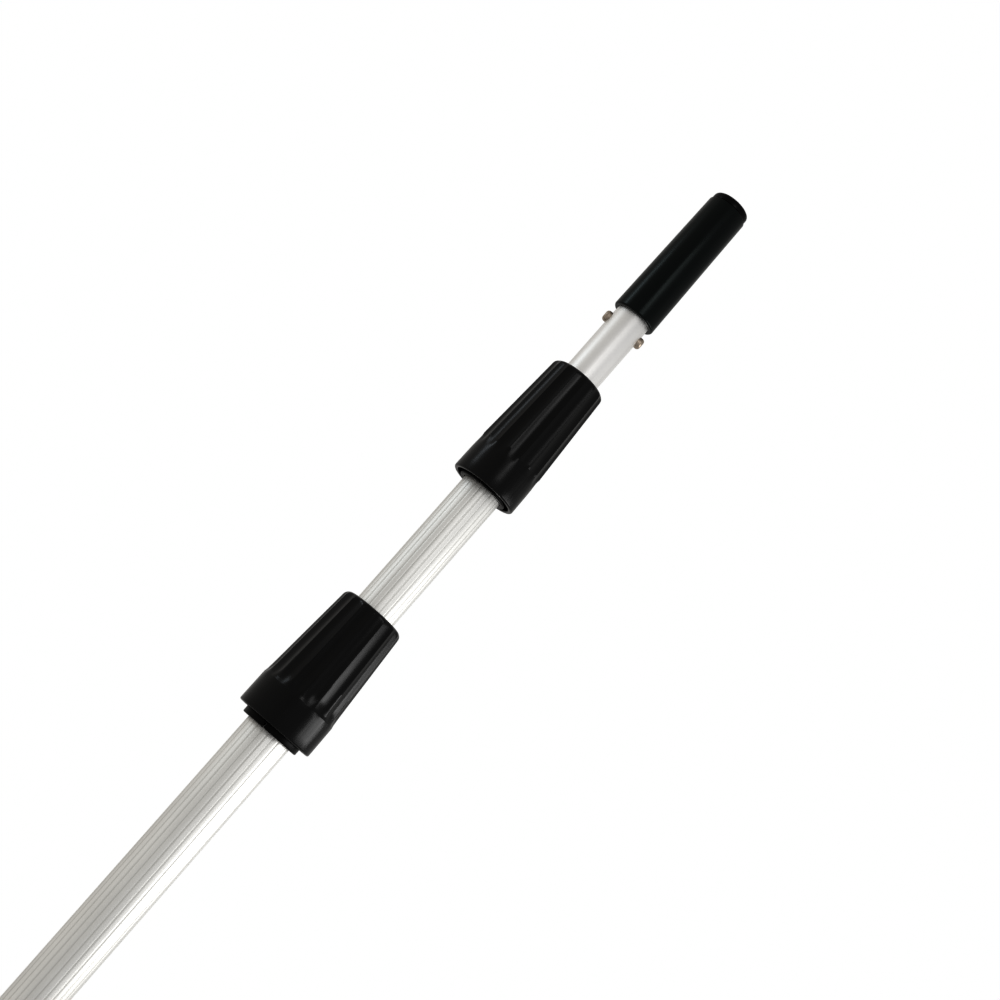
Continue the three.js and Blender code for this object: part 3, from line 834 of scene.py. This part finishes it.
def butt_cap():
    """The cap with a flared hanging hole through it along Y."""
    node = "butt_cap"
    low, high, radius = extent(node)
    tube_foot, _, tube_radius = extent("outer_tube")
    spigot = tube_radius - WALL - RUN_GAP
    top = tube_foot - FACE_GAP
    outline = filleted([
        (0, low, 0),
        (radius, low, BUTT_FOOT_ROUND),
        (radius, top, BUTT_RIM_ROUND),
        (spigot, top, 0),
        (spigot, high, BUTT_SPIGOT_ROUND),
        (0, high, 0),
    ], steps=6)
    piece = lathe(node + "_moulded", outline, BUTT_SIDES)
    reach = radius + HANGING_HOLE_OVERRUN
    hole = filleted([
        (0, -reach, 0),
        (HANGING_HOLE + HOLE_FLARE, -reach, 0),
        (HANGING_HOLE, -reach + HOLE_FLARE_LENGTH, HOLE_FLARE_ROUND),
        (HANGING_HOLE, reach - HOLE_FLARE_LENGTH, HOLE_FLARE_ROUND),
        (HANGING_HOLE + HOLE_FLARE, reach, 0),
        (0, reach, 0),
    ], steps=6)
    cutter = lathe("hole_cutter", hole, CUTTER_SIDES)
    for vertex in cutter.data.vertices:
        x, y, z = vertex.co
        vertex.co = (x, z, low + HANGING_HOLE_HEIGHT - y)
    return stand_for(cut(piece, cutter), node, MATERIAL[SLOT[node]])


# CAD nodes --------------------------------------------------------------------------------


def finish_cad_parts():
    """Gives the CAD nodes their material. Those that no drawn piece replaces are shown as they are."""
    for node, piece in frame["nodes"].items():
        if SLOT[node] in MATERIAL:
            piece.data.materials.clear()
            piece.data.materials.append(MATERIAL[SLOT[node]])


# Stage ------------------------------------------------------------------------------------

FLOOR_RADIUS = 1.1
FLOOR_FADE_START = 0.33
FLOOR_SIDES = 96
FLOOR_COLOUR = (0.8, 0.8, 0.79, 1)
BACKGROUND = (1, 1, 1, 1)
DISPLAY_GAMMA = 0.65
SOFTBOX_DISTANCE = 1.2
# The studio's colour round the pole, by the angle in degrees from the camera's side towards +X.
STUDIO = [
    (-180, (0.7, 0.69, 0.67)),
    (-90, (0.8, 0.78, 0.75)),
    (-45, (0.75, 0.74, 0.72)),
    (-10, (0.62, 0.615, 0.605)),
    (20, (0.7, 0.7, 0.7)),
    (60, (0.74, 0.74, 0.74)),
    (120, (0.72, 0.72, 0.71)),
    (180, (0.7, 0.69, 0.67)),
]


def add_floor():
    """A pale round floor that fades out towards its edge."""
    mesh = bmesh.new()
    bmesh.ops.create_circle(mesh, cap_ends=True, segments=FLOOR_SIDES, radius=FLOOR_RADIUS)
    floor = as_object("floor", mesh)
    nodes = Surface("pale_floor")
    nodes.set(Base_Color=FLOOR_COLOUR, Roughness=0.7)
    fade = nodes.between(nodes.from_axis(), 1.0, 0.0, FLOOR_FADE_START, FLOOR_RADIUS)
    nodes.link(fade, nodes.shader.inputs["Alpha"])
    floor.data.materials.append(nodes.material)


def share_of_turn(nodes):
    """Where a direction lies round the pole: 0.5 is the camera's side, 0.75 is +X, 0 is behind."""
    where = nodes.add("ShaderNodeTexCoord")
    split = nodes.add("ShaderNodeSeparateXYZ")
    nodes.link(where.outputs["Generated"], split.inputs["Vector"])
    towards = nodes.add("ShaderNodeMath", operation="MULTIPLY")
    towards.inputs[1].default_value = -1
    nodes.link(split.outputs["Y"], towards.inputs[0])
    azimuth = nodes.add("ShaderNodeMath", operation="ARCTAN2")
    nodes.link(split.outputs["X"], azimuth.inputs[0])
    nodes.link(towards.outputs["Value"], azimuth.inputs[1])
    return nodes.between(azimuth.outputs["Value"], 0.0, 1.0, -math.pi, math.pi)


def add_world():
    """White where the camera sees it. The pole is lit by a soft, pale studio, dimmest in front."""
    world = bpy.data.worlds.new("studio")
    world.use_nodes = True
    bpy.context.scene.world = world
    world.node_tree.nodes.clear()
    nodes = Graph(world.node_tree)
    stops = [((degrees + 180) / 360, colour) for degrees, colour in STUDIO]
    studio = nodes.add("ShaderNodeBackground")
    nodes.link(nodes.colours(share_of_turn(nodes), *stops), studio.inputs["Color"])
    white = nodes.add("ShaderNodeBackground")
    white.inputs["Color"].default_value = BACKGROUND
    path = nodes.add("ShaderNodeLightPath")
    mix = nodes.add("ShaderNodeMixShader")
    nodes.link(path.outputs["Is Camera Ray"], mix.inputs["Fac"])
    nodes.link(studio.outputs["Background"], mix.inputs[1])
    nodes.link(white.outputs["Background"], mix.inputs[2])
    output = nodes.add("ShaderNodeOutputWorld")
    nodes.link(mix.outputs["Shader"], output.inputs["Surface"])


def add_softbox(name, azimuth, elevation, size, power, colour=(1, 1, 1)):
    """A soft light aimed at the upper collar's foot. azimuth and elevation are in degrees."""
    light = bpy.data.lights.new(name, "AREA")
    light.shape = "RECTANGLE"
    light.size, light.size_y = size
    light.energy = power
    light.color = colour
    softbox = bpy.data.objects.new(name, light)
    aim = Vector((0, 0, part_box("upper_lock_collar")[0].z))
    turn, rise = math.radians(azimuth), math.radians(elevation)
    level = math.cos(rise)
    direction = Vector((math.sin(turn) * level, -math.cos(turn) * level, math.sin(rise)))
    softbox.location = aim + direction * SOFTBOX_DISTANCE
    softbox.rotation_euler = (-direction).to_track_quat("-Z", "Y").to_euler()
    softbox.visible_camera = False
    bpy.context.scene.collection.objects.link(softbox)


def add_lights():
    """A wide soft light on the pole's right, a small cool one on its left and a small one in front."""
    add_softbox("right_softbox", azimuth=84, elevation=-4, size=(1.0, 0.34), power=6.6)
    add_softbox(
        "left_softbox", azimuth=-84, elevation=20, size=(0.2, 0.4), power=1.4, colour=(0.85, 0.93, 1)
    )
    add_softbox("front_softbox", azimuth=14, elevation=22, size=(0.3, 0.4), power=1.6)


# Build ------------------------------------------------------------------------------------

add_camera()
grooved_tube("outer_tube", OUTER_GROOVES)
grooved_tube("middle_tube", MIDDLE_GROOVES)
smooth_tube()
for twist_lock in LOCKS:
    lock_collar(twist_lock)
    ferrule(twist_lock)
tip_cone()
tip_cap()
for side_name, side in (("right", 1), ("left", -1)):
    snap_button(side_name, side)
    spring_half(side_name, side)
hand_grip()
butt_cap()
finish_cad_parts()
add_floor()
add_world()
add_lights()
bpy.context.scene.view_settings.view_transform = "Standard"
bpy.context.scene.view_settings.gamma = DISPLAY_GAMMA
